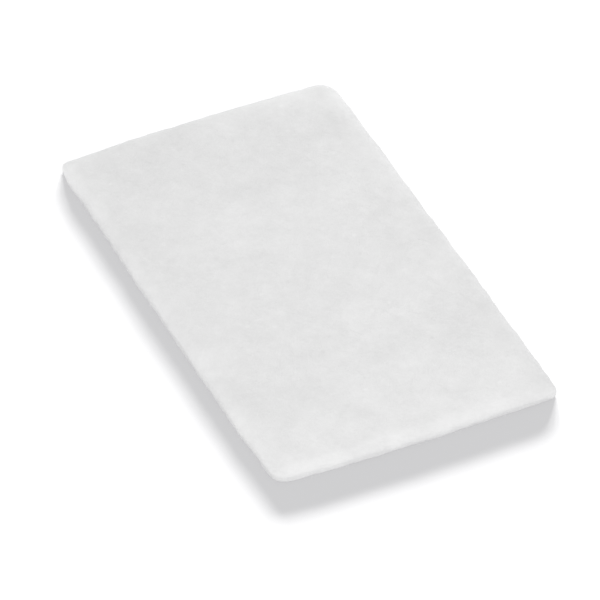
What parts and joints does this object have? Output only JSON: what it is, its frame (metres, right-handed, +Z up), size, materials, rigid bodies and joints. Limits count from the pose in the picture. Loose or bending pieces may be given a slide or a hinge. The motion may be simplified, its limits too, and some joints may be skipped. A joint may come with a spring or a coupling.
{
  "type": "cpap air filter",
  "caption": "Thin rectangular pad of white bonded fibre felt with rounded corners and a soft pressed rim, a disposable intake filter for a sleep breathing machine.",
  "frame": {"origin": "centre of the pad's underside, on the surface that it lies on", "axes": "+Z up out of the upper face, Y along the long side, X along the short side"},
  "size_m": [0.035, 0.06, 0.0018],
  "materials": {
    "felt": "matt white bonded fibre felt, with faint clouding and fine loose fibres"
  },
  "bodies": {
    "root": {"filter_pad": "felt"}
  },
  "joints": []
}
